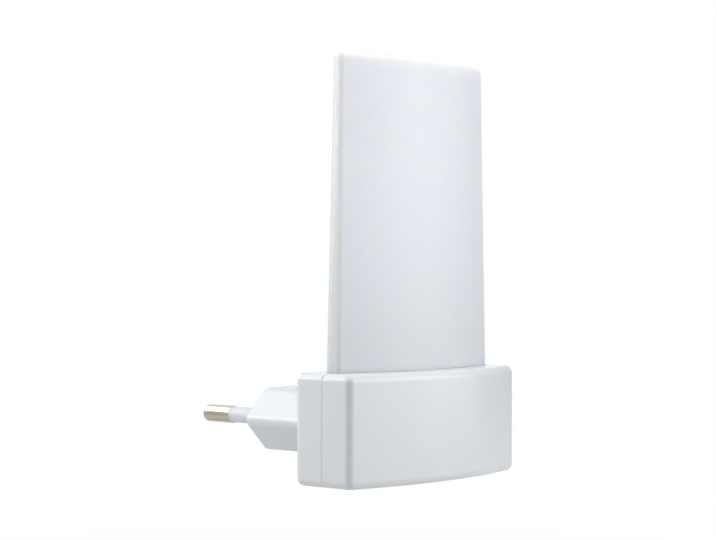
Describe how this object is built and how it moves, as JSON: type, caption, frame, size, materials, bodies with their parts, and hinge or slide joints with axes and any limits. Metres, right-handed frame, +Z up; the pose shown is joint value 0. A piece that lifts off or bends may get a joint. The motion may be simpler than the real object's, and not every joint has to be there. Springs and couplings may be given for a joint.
{
  "type": "plug-in night light",
  "caption": "Plug-in night light: a flat opal diffuser stands on a small mains housing with a two-pin plug at its back and a rocker switch in its side.",
  "frame": {"origin": "midway between the two plug pins, on the plug's end face", "axes": "+Y along the pins into the socket, +Z up along the diffuser, the curved front faces -Y, the switch is on the +X side"},
  "size_m": [0.0588, 0.0664, 0.0922],
  "materials": {
    "housing_plastic": "satin white moulded ABS",
    "opal_plastic": "milky translucent polycarbonate",
    "pin_nickel": "nickel-plated brass",
    "sleeve_plastic": "white insulating sleeve",
    "screw_steel": "zinc-plated steel",
    "board_laminate": "phenolic board with solder mask",
    "led_board_white": "white solder mask",
    "led_body": "white LED package",
    "led_phosphor": "yellow phosphor silicone",
    "reflector_white": "white reflective plastic",
    "film_capacitor_case": "yellow box capacitor",
    "capacitor_sleeve": "dark heat-shrink sleeve",
    "rectifier_epoxy": "black epoxy",
    "resistor_body": "flameproof blue-grey coating",
    "chip_resistor": "black glazed chip with tinned ends",
    "lead_brown": "brown PVC insulation",
    "lead_blue": "blue PVC insulation",
    "lead_black": "black PVC insulation",
    "switch_plastic": "white moulded nylon",
    "plunger_plastic": "natural acetal",
    "spring_steel": "spring wire",
    "contact_brass": "bare brass with silver contacts"
  },
  "bodies": {
    "lamp": {"rear_housing": "housing_plastic", "front_housing": "housing_plastic", "diffuser": "opal_plastic", "plug_pin_left": "pin_nickel", "plug_pin_right": "pin_nickel", "pin_sleeve_left": "sleeve_plastic", "pin_sleeve_right": "sleeve_plastic", "housing_screws": "screw_steel", "main_board": "board_laminate", "led_board": "led_board_white", "led_packages": "led_body", "led_lenses": "led_phosphor", "reflector": "reflector_white", "film_capacitor": "film_capacitor_case", "smoothing_capacitor": "capacitor_sleeve", "bridge_rectifier": "rectifier_epoxy", "fusible_resistor": "resistor_body", "bleed_resistors": "chip_resistor", "lead_live": "lead_brown", "lead_neutral": "lead_blue", "lead_switched": "lead_black", "switch_frame": "switch_plastic", "centre_terminal": "contact_brass", "end_terminal": "contact_brass"},
    "rocker": {"switch_rocker": "switch_plastic", "switch_plunger": "plunger_plastic", "switch_spring": "spring_steel"},
    "lever": {"contact_lever": "contact_brass"}
  },
  "joints": [
    {"name": "rocker_press", "type": "hinge", "parent": "lamp", "child": "rocker", "pos_m": [0.02735, -0.0355, -0.00022], "axis": [0, -1, 0], "range_deg": [0, 20]},
    {"name": "lever_tilt", "type": "hinge", "parent": "lamp", "child": "lever", "pos_m": [0.0218, -0.0355, -0.00022], "axis": [0, -1, 0], "range_deg": [-14, 0]}
  ],
  "couplings": [
    {"joint": "lever_tilt", "follows": "rocker_press", "ratio": -0.7}
  ]
}
